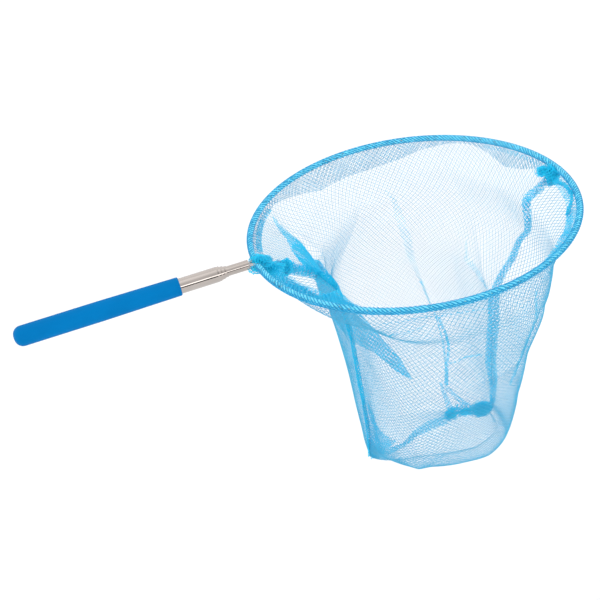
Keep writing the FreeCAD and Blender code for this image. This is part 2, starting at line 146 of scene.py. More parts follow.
# The two plugs: dark plastic, moulded. One closes the rear end of the outer tube under the grip,
# and the other, with two bores, holds the wire's two ends in the front of the innermost tube
def plug_plastic():
    """Dark plastic with patches and dents of 2.5 mm, as moulding leaves it."""
    material, shader = new_material("plug_plastic", Roughness=0.5)
    places = object_places(material)
    colour, fac = mottled(material, places, 400.0, 3.0, srgb("2A2B2E"), srgb("34363A"))
    feed(material, colour, shader, "Base Color")
    feed(material, bumped(material, fac, 0.0001, 0.2), shader, "Normal")
    return material


give_finish("plug_plastic", plug_plastic())


# The four tubes: stainless steel, drawn and polished, each with its mouth drawn in to guide the
# next smaller one. Drawing leaves faint lines along them, which blur what they mirror
def pole_steel():
    """Polished steel: patches of 25 mm, and drawing lines 8 mm long and 0.2 mm apart."""
    material, shader = new_material("pole_steel", Metallic=1.0)
    places = object_places(material)
    colour, _ = mottled(material, places, 40.0, 2.0, srgb("AFA7A2"), srgb("BDB5B0"))
    feed(material, colour, shader, "Base Color")
    stretched = add(material, "ShaderNodeMapping", {"Vector": places, "Scale": (20.0, 900.0, 900.0)})
    lines = add(material, "ShaderNodeTexNoise", {"Vector": stretched.outputs["Vector"], "Scale": 6.0})
    rough = add(material, "ShaderNodeMapRange",
                {"Value": lines.outputs["Fac"], "To Min": 0.05, "To Max": 0.12})
    feed(material, rough.outputs["Result"], shader, "Roughness")
    feed(material, bumped(material, lines.outputs["Fac"], 0.00002, 0.15), shader, "Normal")
    return material


give_finish("pole_steel", pole_steel())


# The bushes and friction sleeves at the inner tubes' rear ends: rings of brass turned on a lathe,
# and split sleeves rolled from bronze strip. Both lie inside the pole, out of sight
def turned_metal(name, low, high):
    """Metal with patches of 2 mm, and turning marks 0.25 mm apart round the pole's axis."""
    material, shader = new_material(name, Metallic=1.0)
    places = object_places(material)
    colour, _ = mottled(material, places, 500.0, 3.0, srgb(low), srgb(high))
    feed(material, colour, shader, "Base Color")
    rings = add(material, "ShaderNodeMapping", {"Vector": places, "Scale": (4000.0, 40.0, 40.0)})
    turning = add(material, "ShaderNodeTexNoise", {"Vector": rings.outputs["Vector"], "Scale": 1.0})
    rough = add(material, "ShaderNodeMapRange",
                {"Value": turning.outputs["Fac"], "To Min": 0.2, "To Max": 0.4})
    feed(material, rough.outputs["Result"], shader, "Roughness")
    return material


give_finish("bush_brass", turned_metal("bush_brass", "B08C4A", "C7A35C"))
give_finish("friction_bronze", turned_metal("friction_bronze", "9A6B45", "B58257"))


# The hoop's wire: spring steel, drawn and then bent from one piece, with both its ends held in the
# innermost tube. It is duller than the tubes, and shows only between the tube's mouth and the hem
def wire_steel():
    """Drawn steel with patches of 3 mm that differ in colour and in shine."""
    material, shader = new_material("wire_steel", Metallic=1.0)
    places = object_places(material)
    colour, fac = mottled(material, places, 300.0, 3.0, srgb("9A9B9E"), srgb("B9BABD"))
    feed(material, colour, shader, "Base Color")
    rough = add(material, "ShaderNodeMapRange", {"Value": fac, "To Min": 0.28, "To Max": 0.42})
    feed(material, rough.outputs["Result"], shader, "Roughness")
    return material


give_finish("wire_steel", wire_steel())


# The front and back panels: fine mesh of blue polyester thread, one layer each, cut to the outline
# between the seams and hung from the wire by the hem. The cloth hangs slack, with pressed creases
def mesh_thread(name, low, high):
    """Polyester thread, with differences of dye over 11 mm and fibres of 0.1 mm."""
    material, shader = new_material(name, Roughness=0.5, Sheen_Weight=0.04, Sheen_Roughness=0.4)
    places = object_places(material)
    colour, _ = mottled(material, places, 90.0, 3.0, srgb(low), srgb(high))
    feed(material, colour, shader, "Base Color")
    fibres = add(material, "ShaderNodeTexNoise", {"Vector": places, "Scale": 9000.0, "Detail": 2.0})
    feed(material, bumped(material, fibres.outputs["Fac"], 0.00003, 0.3), shader, "Normal")
    return material


thread = mesh_thread("net_thread", "3CA6CE", "4AB2D8")

# The bag's own sizes, in millimetres: where the hoop's middle lies on the pole's axis, its radius,
# and the pitch of a layer's threads. The real mesh is too fine to show, so it is drawn this coarse
HOOP_X = 237.73
RING_RADIUS = 108.9
PITCH = 2.7
# Thread widths in the front panel, -1, and the back one, 1: a thick thread every pitch, and a thin
# one midway between two thick ones
WIDTHS = {-1: (0.275, 0.05), 1: (0.23, 0.09)}
# A thread has a point at least this often, and one shorter than the second size is left out
SEGMENT = 3.6
SHORTEST_THREAD = 0.4
# Threads start this far from a region's corner, so that none runs along an edge
OFF_CORNER = 0.013
# A thread's width over the distance of its prism's corners from its middle. Seen from the side,
# a three-sided prism is 1.5 to 1.73 times that distance wide
WIDTH_TO_CORNER = 1.6
MM = 0.001
# Levels down the bag: depth, pole-side reach, far reach, then for the front and for the back
# the spread and the fullness towards the pole and towards the far side
STATIONS = [
    (0, 109.0, 109.0, 109.0, 2.0, 2.0, 109.0, 2.0, 2.0),
    (12, 90.0, 96.0, 101.0, 3.3, 2.15, 103.0, 2.3, 2.15),
    (26, 69.0, 85.5, 100.5, 3.3, 2.15, 100.0, 2.1, 2.1),
    (42, 59.0, 84.5, 95.2, 2.6, 2.15, 96.0, 1.95, 2.1),
    (88, 54.0, 57.0, 88.4, 2.9, 2.95, 95.0, 3.0, 2.9),
    (145, 53.5, 51.0, 70.6, 3.0, 3.2, 66.2, 3.2, 3.0),
    (185, 54.0, 50.0, 56.0, 2.0, 2.5, 46.0, 3.0, 3.0),
    (198, 55.0, 48.5, 29.0, 1.8, 3.2, 34.0, 2.9, 3.2),
    (202, 55.0, 47.5, 23.7, 1.8, 3.2, 26.0, 2.5, 3.0),
    (201, 55.0, 47.0, 0.4, 2.0, 2.0, 0.4, 2.0, 2.0),
]
# The bottom seam in the plane between the panels: from the hoop's middle, and height
BOTTOM_SEAM = [(-54.8, -200.9), (-40.8, -202), (-26.5, -201), (-14.9, -191.5), (-5.7, -190), (4.4, -190),
               (17.6, -186.5), (30.2, -189.5), (46.8, -198.2)]
# How much the bag's floor is lifted along the pole's direction
FLOOR_LIFT = [(-55, 3.5), (-25, 7.3), (0, 3.0), (20, -1.8), (50, 1.6)]
# The floor's lift comes in from this depth on, over this run of depth
LIFT_FROM = 150
LIFT_RUN = 45
# Below this depth the floor is drawn to the bottom seam, wherever the spread is less than this
SEAMED_FROM = 197
SEAMED_SPREAD = 26
# Millimetres between a panel's rows, and columns in half a row
ROW_STEP = 2.0
HALF_COLUMNS = 80


def smooth_through(places, values, wanted):
    """A curve through values at places that never swings past them."""
    places, values = np.asarray(places, float), np.asarray(values, float)
    run = np.diff(places)
    slope = np.diff(values) / run
    inner = np.zeros(len(slope) - 1)
    same = slope[:-1] * slope[1:] > 0
    inner[same] = 2 * slope[:-1][same] * slope[1:][same] / (slope[:-1] + slope[1:])[same]
    tangent = np.concatenate([slope[:1], inner, slope[-1:]])
    span = np.clip(np.searchsorted(places, wanted, side="right") - 1, 0, len(run) - 1)
    share = (wanted - places[span]) / run[span]
    square, cube = share ** 2, share ** 3
    start = (2 * cube - 3 * square + 1) * values[span]
    start += (cube - 2 * square + share) * run[span] * tangent[span]
    end = (3 * square - 2 * cube) * values[span + 1]
    end += (cube - square) * run[span] * tangent[span + 1]
    return start + end


def along_table(table, wanted):
    places, values = zip(*table)
    return np.interp(wanted, places, values)


def panel_grid(side):
    """A panel from rim to bottom seam, in rows that are evenly divided from seam to seam."""
    stations = np.array(STATIONS, float)
    first = 3 if side < 0 else 6
    spread = stations[:, first]
    run = np.concatenate([[0], np.cumsum(np.hypot(np.diff(stations[:, 0]), np.diff(spread)))])
    downs = np.linspace(0, run[-1], round(run[-1] / ROW_STEP) + 1)
    columns = (0, 1, 2, first, first + 1, first + 2)
    depth, pole, far, spread, pole_full, far_full = (
        smooth_through(run, stations[:, column], downs) for column in columns)
    angle = np.linspace(math.pi, 0, 4 * HALF_COLUMNS + 1)
    cosine, sine = np.cos(angle), np.sin(angle)
    rows, halves = [], []
    for row in range(len(downs)):
        power = np.where(cosine < 0, pole_full[row], far_full[row])
        swell = (np.abs(cosine) ** power + np.abs(sine) ** power) ** (-1 / power)
        x = (far[row] - pole[row]) / 2 + (far[row] + pole[row]) / 2 * swell * cosine
        z = -depth[row] + along_table(FLOOR_LIFT, x) * np.clip((depth[row] - LIFT_FROM) / LIFT_RUN, 0, 1)
        if depth[row] > SEAMED_FROM:
            seamed = np.clip(1 - spread[row] / SEAMED_SPREAD, 0, 1) ** 1.2
            z += seamed * (along_table(BOTTOM_SEAM, x) - z)
        line = np.stack([HOOP_X + x, side * spread[row] * swell * sine, z], -1)
        way = np.concatenate([[0], np.cumsum(np.linalg.norm(np.diff(line, axis=0), axis=1))])
        middle = way[2 * HALF_COLUMNS]
        wanted = np.concatenate([np.linspace(0, middle, HALF_COLUMNS + 1),
                                 np.linspace(middle, way[-1], HALF_COLUMNS + 1)[1:]])
        rows.append(np.stack([np.interp(wanted, way, line[:, axis]) for axis in range(3)], -1))
        halves.append((middle, way[-1] - middle))
    return downs, np.array(rows), np.array(halves)


def between_rows(grid, across, down):
    """Points of a panel: across in mm from its mid-line, + to the far side, down in mm."""
    downs, rows, halves = grid
    pole_half, far_half = (np.interp(down, downs, halves[:, column]) for column in (0, 1))
    half = np.where(across < 0, pole_half, far_half)
    column = np.clip(HALF_COLUMNS * (1 + across / half), 0, 2 * HALF_COLUMNS)
    row = np.interp(down, downs, np.arange(len(downs)))
    top = np.clip(row.astype(int), 0, len(downs) - 2)
    left = np.clip(column.astype(int), 0, 2 * HALF_COLUMNS - 1)
    low, on = (row - top)[..., None], (column - left)[..., None]
    upper = rows[top, left] * (1 - on) + rows[top, left + 1] * on
    lower = rows[top + 1, left] * (1 - on) + rows[top + 1, left + 1] * on
    return upper * (1 - low) + lower * low


def unit(vectors):
    return vectors / np.maximum(np.linalg.norm(vectors, axis=-1, keepdims=True), 1e-9)


def off_route(route, across, down):
    """How far points of the cloth lie from a line of points, and how far along it, 0 to 1."""
    nearest = np.full(across.shape, 1e9)
    along = np.zeros(across.shape)
    points = np.array(route, float)
    lengths = np.linalg.norm(np.diff(points, axis=0), axis=1)
    total = lengths.sum()
    before = 0.0
    for start, end, length in zip(points, points[1:], lengths):
        way = (end - start) / length
        step = np.clip((across - start[0]) * way[0] + (down - start[1]) * way[1], 0, length)
        away = np.hypot(across - start[0] - step * way[0], down - start[1] - step * way[1])
        closer = away < nearest
        nearest = np.where(closer, away, nearest)
        along = np.where(closer, (before + step) / total, along)
        before += length
    return nearest, along


# Creases pressed into the cloth: a line in the cloth's own mm, its height outwards, and how far
# from the line that height falls to about a third
CREASES = {
    -1: [
        ([(-28, 6), (-23, 84), (-17, 112)], 2.0, 4.0),
        ([(-95, 92), (-35, 60)], 0.7, 3.0),
        ([(-8, 85), (40, 78)], 1.4, 3.0),
        ([(81, 66), (40, 50), (35, 68), (31, 95), (54, 152)], -2.0, 5.0),
        ([(-60, 150), (-20, 215), (20, 235)], 2.0, 6.0),
    ],
    1: [
        ([(18, 66), (25, 98), (35, 132), (41, 150), (30, 205)], -2.0, 4.0),
        ([(76, 60), (115, 88)], -2.5, 5.0),
        ([(-96, 6), (-75, 66), (-28, 122), (5, 195)], -2.5, 4.0),
        ([(-10, 20), (-35, 90)], 1.8, 8.0),
        ([(60, 20), (70, 120)], 2.0, 10.0),
        ([(-92, 22), (-95, 45), (-80, 85)], 11.0, 18.0),
    ],
}


def waves(across, down, side):
    """Slack of the cloth: soft upright folds that die out at the rim and the bottom."""
    slack = np.sin(np.clip(down / 250, 0, 1) * math.pi) ** 0.7
    upright = np.sin(across / 15.0 + side + 0.6 * np.sin(down / 40.0))
    ripple = np.sin(across / 7.3 - down / 19.0 + 2.0 * side) * np.sin(down / 26.0 + side)
    return slack * (0.9 * upright + 0.5 * ripple)


GRIDS = {side: panel_grid(side) for side in (-1, 1)}


def on_panel(side, across, down, lift=0.0):
    """Points of a panel and its outward directions, folds and creases included."""
    grid = GRIDS[side]
    reach = 1.0
    middle = between_rows(grid, across, down)
    way_across = between_rows(grid, across + reach, down) - between_rows(grid, across - reach, down)
    way_down = between_rows(grid, across, down + reach) - between_rows(grid, across, down - reach)
    outward = unit(np.cross(way_across, way_down)) * side
    height = waves(across, down, side) + lift
    for route, rise, width in CREASES[side]:
        away, along = off_route(route, across, down)
        # A crease is highest half way along and dies out towards its ends and away from its line
        fade = np.sin(np.clip(along, 0.04, 0.96) * math.pi) ** 0.5
        height = height + rise * np.exp(-away / width) * fade
    return middle + outward * height[..., None], outward


def thread_lines(region, slant, shift, pitch):
    """Straight threads across a flat region, cut off at its edge, a point every few mm."""
    corners = np.array(region, float)
    way = np.array([math.cos(slant), math.sin(slant)])
    square = np.array([-way[1], way[0]])
    height, place = corners @ square, corners @ way
    lines = []
    for level in np.arange(height.min() + shift * pitch + OFF_CORNER, height.max(), pitch):
        side = height > level
        cut = np.flatnonzero(side != np.roll(side, -1))
        after = (cut + 1) % len(corners)
        share = (level - height[cut]) / (height[after] - height[cut])
        ends = np.sort(place[cut] + share * (place[after] - place[cut]))
        for start, end in zip(ends[::2], ends[1::2]):
            if end - start > SHORTEST_THREAD:
                steps = np.linspace(start, end, max(2, math.ceil((end - start) / SEGMENT) + 1))
                lines.append(steps[:, None] * way + level * square)
    return lines


def mesh_layer(region, place, lift=0.0, shift=0.0, slant=45.0):
    """Both families of threads of one layer of mesh, laid on a surface."""
    layer = []
    for angle in (slant, slant - 90.0):
        lines = thread_lines(region, math.radians(angle), shift, PITCH)
        if not lines:
            continue
        joined = np.concatenate(lines)
        points, outward = place(joined[:, 0], joined[:, 1], lift)
        stops = np.cumsum([len(line) for line in lines])[:-1]
        layer += list(zip(np.split(points, stops), np.split(outward, stops)))
    return layer


def net_piece(name, threads, width, material):
    """One piece of mesh: every thread is a closed three-sided prism along its points. width is
    the threads' thickness, one for all or one each."""
    points = np.concatenate([thread for thread, _ in threads])
    outward = np.concatenate([normals for _, normals in threads])
    way = np.concatenate([np.gradient(thread, axis=0) for thread, _ in threads])
    across = unit(np.cross(unit(way), outward))
    upward = unit(np.cross(across, unit(way)))
    turns = [math.radians(degrees) for degrees in (90, 210, 330)]
    lengths = np.array([len(thread) for thread, _ in threads])
    radius = np.repeat(np.broadcast_to(width, len(threads)), lengths)[:, None] / WIDTH_TO_CORNER
    ring = [points + radius * (math.cos(turn) * across + math.sin(turn) * upward) for turn in turns]
    places = np.stack(ring, 1).reshape(-1, 3) * MM
    last = np.cumsum(lengths) - 1
    first = last - lengths + 1
    inner = np.setdiff1d(np.arange(len(points)), last)
    sides = []
    for corner in range(3):
        other = (corner + 1) % 3
        sides.append(np.stack([3 * inner + corner, 3 * inner + other,
                               3 * inner + 3 + other, 3 * inner + 3 + corner], -1))
    quads = np.concatenate(sides)
    caps = np.concatenate([np.stack([3 * first + 2, 3 * first + 1, 3 * first], -1),
                           np.stack([3 * last, 3 * last + 1, 3 * last + 2], -1)])
    data = bpy.data.meshes.new(name)
    data.from_pydata(places.tolist(), [], quads.tolist() + caps.tolist())
    data.materials.append(material)
    piece = bpy.data.objects.new(name, data)
    bpy.context.collection.objects.link(piece)
    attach(piece, "net_head")
    return piece


def panel_place(side):
    return lambda across, down, lift: on_panel(side, across, down, lift)


def panel_outline(side):
    downs, _, halves = GRIDS[side]
    left = [(-half, down) for half, down in zip(halves[:, 0], downs)]
    right = [(half, down) for half, down in zip(halves[:, 1], downs)]
    return left[::2] + [left[-1]] + [right[-1]] + right[::-2]


for side, label in ((-1, "front"), (1, "back")):
    thick = mesh_layer(panel_outline(side), panel_place(side))
    thin = mesh_layer(panel_outline(side), panel_place(side), shift=0.5)
    widths = [WIDTHS[side][0]] * len(thick) + [WIDTHS[side][1]] * len(thin)
    panel = net_piece(f"{label}_mesh", thick + thin, widths, thread)
    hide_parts(f"{label}_panel")


# Folds of the same cloth that lie doubled on the panels: a long one on the back from the rim to
# the floor, thin upright and slanting ones, and the tucks round the lower corners. Where it is
# doubled, the mesh looks denser. Their thread colour is painted light: a lighter, bluer copy of the
# panels' one, which makes up for the shade that the stacked layers cast on each other
painted_bright_thread = mesh_thread("painted_bright_thread", "04CAF0", "0CD6FA")
# Thread width in the folds and in the hem's loose edge
FOLD_THREAD = 0.17
# Each layer's threads lie this share of the pitch, and this many degrees, off those of the last
LAYER_SHIFT = 0.37
LAYER_TURN = 4


def stacked(region, place, count, first=0.0, step=-0.4, turn=0.0):
    """Several layers one on another, each with its threads shifted and a little turned."""
    layers = []
    for number in range(count):
        layers += mesh_layer(region, place, first + step * number, (LAYER_SHIFT * number + turn) % 1,
                             45 + LAYER_TURN * number + 9 * turn)
    return layers


def strip(route, widths):
    """The outline of a band along a route, as wide at each point as widths says."""
    points = np.array(route, float)
    way = unit(np.gradient(points, axis=0))
    square = np.stack([-way[:, 1], way[:, 0]], -1) * np.array(widths, float)[:, None] / 2
    return np.concatenate([points + square, (points - square)[::-1]])


LONG_FOLD = [(-94, 9), (-95, 16), (-97, 22), (-99, 28), (-91, 39), (-77, 61), (-60, 78), (-51, 92),
             (-38, 109), (-30, 120), (-16, 146), (-1, 176), (4, 197), (-7, 187), (-14, 175), (-22, 162),
             (-32, 152), (-60, 120), (-95, 84), (-121, 60), (-141, 22), (-121, 19), (-107, 18)]
# Outlines in the cloth's own millimetres, across and down, and how many layers lie there
BACK_FOLDS = [
    (LONG_FOLD, 4),
    (LONG_FOLD[7:18], 4),
    ([(-97, 22), (-99, 28), (-91, 39), (-77, 61), (-60, 78), (-51, 92), (-60, 120), (-95, 84),
      (-121, 60), (-141, 22), (-121, 19)], 3),
    (strip([(6, 36), (13, 57), (26, 82), (30, 104), (34, 124)], [1, 6, 7, 5, 2]), 1),
    (strip([(33, 118), (37, 146), (38, 166), (35, 188), (31, 206)], [2, 1.6, 1.8, 2, 3.5]), 4),
    (strip([(27, 203), (28, 216), (27, 238)], [2.5, 4, 7]), 4),
    (strip([(30, 207), (36, 217), (42, 229)], [2.5, 3.5, 6]), 4),
    (strip([(75, 68), (83, 84), (104, 88), (121, 90)], [1, 5, 6, 3]), 1),
    ([(-155, 2.6), (-93, 3.4), (-90, 7), (-122, 6.2), (-150, 5.4)], 4),
    ([(100, 3), (165, 2), (165, 5), (100, 5)], 2),
]
FRONT_FOLDS = [
    (strip([(-29, 14), (-32, 38), (-30, 62), (-25, 80)], [1.6, 1.6, 2, 2.4]), 5),
    (strip([(-63, 10), (-40, 9), (-18, 16), (2, 20)], [0.8, 1.2, 1.4, 0.8]), 2),
    (strip([(-89, 53), (-62, 26), (-38, 18)], [0.8, 1.2, 0.8]), 2),
    (strip([(-29, 62), (-18, 60), (-5, 62)], [0.8, 1.3, 1]), 4),
    (strip([(84, 66), (62, 72), (58, 86), (64, 120), (70, 150)], [2, 3, 4, 3, 2]), 3),
    (strip([(-92, 150), (-83, 168), (-72, 192), (-60, 226), (-56, 246)], [2, 6, 9, 9, 4]), 4),
    ([(-109, 134), (-98, 149), (-85, 158), (-70, 157), (-54, 152), (-66, 179), (-59, 228), (-88, 188)], 3),
]
for side, folds, label in ((-1, FRONT_FOLDS, "front_folds"), (1, BACK_FOLDS, "back_folds")):
    layers = []
    for number, (region, count) in enumerate(folds):
        layers += stacked(region, panel_place(side), count, -0.5, -0.3, 0.13 * number)
    piece = net_piece(label, layers, FOLD_THREAD, painted_bright_thread)


# The hem: the panels' upper edge rolled round the wire, drawn as five layers of thread, and whipped
# down with a darker thread that winds round it. Two rows of chain stitch run along its inner side
# The hem's thread colour is painted light: a much lighter copy of the panels' one, which makes up for the
# shade that its five stacked layers cast on each other and lightens the whole rim
painted_bright_hem_thread = mesh_thread("painted_bright_hem_thread", "7AE4FA", "8EECFE")
stitch_thread = mesh_thread("stitch_thread", "0098CC", "06A6D8")
CASING_RADIUS = 1.85
CASING_LAYERS = 5
CASING_THREAD = 0.54


def on_casing(across, down, lift):
    """Points of the rolled hem: across runs round the hoop from the far side, down round the wire."""
    turn = across / RING_RADIUS
    twist = down / CASING_RADIUS
    radial = np.stack([np.cos(turn), np.sin(turn), np.zeros_like(turn)], -1)
    upward = np.zeros_like(radial)
    upward[:, 2] = 1.0
    outward = radial * np.cos(twist)[:, None] + upward * np.sin(twist)[:, None]
    centre = radial * RING_RADIUS
    centre[:, 0] += HOOP_X
    return centre + outward * (CASING_RADIUS + lift), outward


# The hem ends this far round the hoop from the pole, on both sides of it
CASING_GAP = 5.0
casing_half = math.pi * RING_RADIUS - CASING_GAP
casing_turn = 2 * math.pi * CASING_RADIUS
casing_region = [(-casing_half, 0), (casing_half, 0),
                 (casing_half, casing_turn), (-casing_half, casing_turn)]
casing_layers = stacked(casing_region, on_casing, CASING_LAYERS, 0.0, -0.1)
hem_casing = net_piece("hem_casing", casing_layers, CASING_THREAD, painted_bright_hem_thread)
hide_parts("front_hem", "back_hem")

# The whipping is drawn as several threads side by side. Pitch and widths are in millimetres, and
# points are counted for each turn of the whipping and each stitch of the chain
WHIP_PITCH = 2.7
WHIP_THREADS = 5
WHIP_WIDTH = 0.7
WHIP_POINTS = 12
CHAIN_WIDTH = 0.42
CHAIN_POINTS = 4
whip_lead = WHIP_PITCH * WHIP_THREADS
whip_across = np.linspace(-casing_half, casing_half, WHIP_POINTS * round(2 * casing_half / whip_lead))
whipping = [on_casing(whip_across, (start / WHIP_THREADS - whip_across / whip_lead) * casing_turn, 0.02)
            for start in range(WHIP_THREADS)]
chain_across = np.linspace(-casing_half, casing_half, CHAIN_POINTS * round(2 * casing_half / WHIP_PITCH))
for sway in (-1, 1):
    zigzag = sway * 0.28 * np.sin(chain_across / WHIP_PITCH * math.pi)
    chain = 0.5 + 0.4 * np.sin(chain_across / RING_RADIUS) + zigzag
    whipping.append(on_casing(chain_across, chain * CASING_RADIUS, 0.2))
whip_widths = [WHIP_WIDTH] * WHIP_THREADS + [CHAIN_WIDTH] * 2
hem_whipping = net_piece("hem_whipping", whipping, whip_widths, stitch_thread)


# The hem's turned-in edge, the same cloth left loose inside the mouth: on the back it hangs against
# the panel down to a wavy line, and on the front it leans inwards from the wire
HEM_EDGE = [(-147, 5), (-122, 6), (-99, 6), (-83, 6), (-71, 9), (-60, 12), (-40, 18), (-16, 17), (1, 17),
            (14, 16), (29, 14), (47, 9), (57, 7), (73, 4), (88, 4), (97, 6), (102, 8), (109, 11), (116, 13),
            (131, 11), (151, 6), (157, 7), (165, 6)]
back_band = [(-170, 1)] + [(0.5 * across, 1) for across in range(-330, 331, 30)] + [(170, 1)]
hanging = stacked(back_band + HEM_EDGE[::-1] + [(-165, 5)], panel_place(1), 3, -0.6, -0.5)
hem_band = net_piece("hem_band", hanging, FOLD_THREAD, thread)

LIP_LEAN = math.radians(24)


def on_lip(across, down, lift):
    """Points of the leaning hem: across runs round the hoop from the far side, down is inwards."""
    turn = across / RING_RADIUS
    # The loose edge waves more the further in it reaches, in a long and a short wave
    slack = 0.25 * down * np.sin(across / 9.0) + 0.12 * down * np.sin(across / 3.7 + 1.0)
    reach = RING_RADIUS - down * math.cos(LIP_LEAN)
    height = -down * math.sin(LIP_LEAN) + 0.5 * slack + lift
    places = np.stack([HOOP_X + reach * np.cos(turn), reach * np.sin(turn), height], -1)
    outward = np.stack([np.cos(turn) * math.sin(LIP_LEAN), np.sin(turn) * math.sin(LIP_LEAN),
                        np.full_like(turn, -math.cos(LIP_LEAN))], -1)
    return places, outward


def lip(table):
    """A region round the hoop: at each angle, how far in it starts and how far in it ends."""
    arcs = [(math.radians(angle) * RING_RADIUS, start, end) for angle, start, end in table]
    return [(arc, start) for arc, start, _ in arcs] + [(arc, end) for arc, _, end in arcs[::-1]]


# The leaning edge goes round the front, and lies thicker near the pole and before the far side, with
# one narrow curl at the far side. Angles are in degrees from the far side, reaches in millimetres
FRONT_LIP = [(-177, 1, 5), (-173, 1, 8), (-167, 1, 17), (-160, 1, 22), (-153, 1, 27), (-146, 1, 28),
             (-140, 1, 21), (-134, 1, 13), (-126, 1, 9), (-118, 1, 8), (-110, 1, 7),
             (-100, 1, 5), (-88, 1, 3.5), (-72, 1, 5), (-60, 1, 7), (-48, 1, 9), (-36, 1, 9.5),
             (-24, 1, 9), (-12, 1, 9), (-4, 1, 8)]
POLE_LIP = [(-178, 1, 7), (-172, 1, 10), (-166, 1, 16), (-160, 1, 19), (-153, 1, 21), (-147, 1, 22),
            (-141, 1, 19), (-134, 1, 12), (-126, 1, 7), (-114, 1, 3)]
SIDE_LIP = [(-74, 1, 3), (-62, 1, 5), (-50, 2, 7.5), (-40, 4, 9), (-30, 5, 9), (-28, 5, 8)]
FAR_CURL = [(-31, 7, 10), (-28, 6, 9), (-25, 4, 6.5), (-20, 2.6, 4.8), (-14, 3, 5.2), (-9, 4.5, 7),
            (-6, 6.5, 8)]
leaning = stacked(lip(FRONT_LIP), on_lip, 3, 0.0, -0.4)
leaning += stacked(lip(POLE_LIP), on_lip, 10, -0.6, -0.3, 0.2)
leaning += stacked(lip(SIDE_LIP), on_lip, 3, -0.6, -0.4, 0.4)
leaning += stacked(lip(FAR_CURL), on_lip, 14, 1.6, -0.15, 0.6)
# The leaning edge is drawn in the folds' thread colour, painted light against the shade of its stacked
# layers
hem_lip = net_piece("hem_lip", leaning, FOLD_THREAD, painted_bright_thread)


# The three seams: the panels' allowances laid together, which stand in the plane between the
# panels on the bag's inside, with an overlocking thread wound along them. Their routes are given
# from the hoop's middle, and by height
POLE_SEAM = [(-97, -6), (-91, -11), (-69, -26), (-60, -38), (-54, -86), (-54, -113), (-53, -147),
             (-55, -200)]
FAR_SEAM = [(106, -4), (96, -12), (86, -18), (85, -42), (79, -48), (71, -64), (57, -88), (53, -128),
            (51, -148), (51, -173), (47, -198)]
# The flat width of an allowance, and its threads
ALLOWANCE = 8.0
ALLOWANCE_THREAD = 0.2
OVERLOCK_THREAD = 0.26
# The overlocking's length for each turn, in millimetres, and its points for each millimetre
OVERLOCK_PITCH = 2.4
OVERLOCK_POINTS = 3.2


def seam_place(route, widths):
    """Places by length along a seam and share across it, for a route in the plane between the panels."""
    points = np.array(route, float)
    lengths = np.concatenate([[0], np.cumsum(np.linalg.norm(np.diff(points, axis=0), axis=1))])
    fine = np.linspace(0, lengths[-1], 200)
    smooth = np.stack([smooth_through(lengths, points[:, axis], fine) for axis in (0, 1)], -1)
    across = unit(np.gradient(smooth, axis=0))[:, ::-1] * (1, -1)
    wide = np.interp(fine, lengths, widths)

    def place(along, share, lift):
        x, z, step_x, step_z, width = (
            np.interp(along, fine, column)
            for column in (smooth[:, 0], smooth[:, 1], across[:, 0], across[:, 1], wide))
        # The allowance sways to and fro along the seam, in a long and a short wave
        curl = 0.9 * np.sin(along / 11.0) + 0.45 * np.sin(along / 4.3 + 1.0)
        out = share * width
        y = curl + 0.35 * out * np.sin(along / 17.0) + lift
        places = np.stack([HOOP_X + x + out * step_x, y, z + out * step_z], -1)
        outward = np.zeros_like(places)
        outward[:, 1] = 1.0
        return places, outward

    return place, lengths[-1]


# Name, node that it stands for, route, width at each point of the route, and layers
SEAMS = [
    ("pole_seam", "pole_side_seam", POLE_SEAM, [8, 8, 8, 6, 3.4, 3.2, 3.2, 4], 6),
    ("far_seam", "far_side_seam", FAR_SEAM, [6, 6.5, 6, 5, 6, 9, 9, 8, 9.5, 8, 4], 5),
    ("floor_seam", "bottom_seam", BOTTOM_SEAM, [6, 10, 7, 10, 11, 8, 11, 8, 4], 4),
]
# The seams and their overlocking are drawn in the folds' thread colour, painted light against the shade of
# their stacked layers
for name, node, route, widths, count in SEAMS:
    place, length = seam_place(route, widths)

    def squeezed(along, across, lift):
        return place(along, across / ALLOWANCE, lift)

    half = ALLOWANCE / 2
    whole = [(0, -half), (length, -half), (length, half), (0, half)]
    layers = stacked(whole, squeezed, count, 0.6, -0.25)
    if name == "pole_seam":
        rolled_top = [(6, -half), (52, -half), (60, half), (6, half)]
        layers += stacked(rolled_top, squeezed, 6, 1.8, 0.35, 0.4)
    piece = net_piece(name, layers, ALLOWANCE_THREAD, painted_bright_thread)
    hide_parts(node)
    along = np.linspace(1.0, length - 1.0, round(length * OVERLOCK_POINTS))
    turn = along / OVERLOCK_PITCH * 2 * math.pi
    places, outward = place(along, 0.3 * np.cos(turn), 0.8 * np.sin(turn))
    stitches = net_piece(f"{name}_overlock", [(places, outward)], OVERLOCK_THREAD, painted_bright_thread)


# Gathered cloth, where the bag's fullness is bunched and sewn: round the wire ends at the pole, at
# the top of the far seam and at both ends of the floor's seam. Each bunch is drawn as lumps of mesh
GATHER_THREAD = 0.36
# Each layer of a lump is this share of the lump's half sizes smaller than the one outside it, and
# all are laid from the same flat region. So the cloth is squeezed, the outermost layer to about
# 0.8 of its length and the fifth to 0.3, and from the fifth on part of it crosses the middle
GATHER_STEP = -0.17


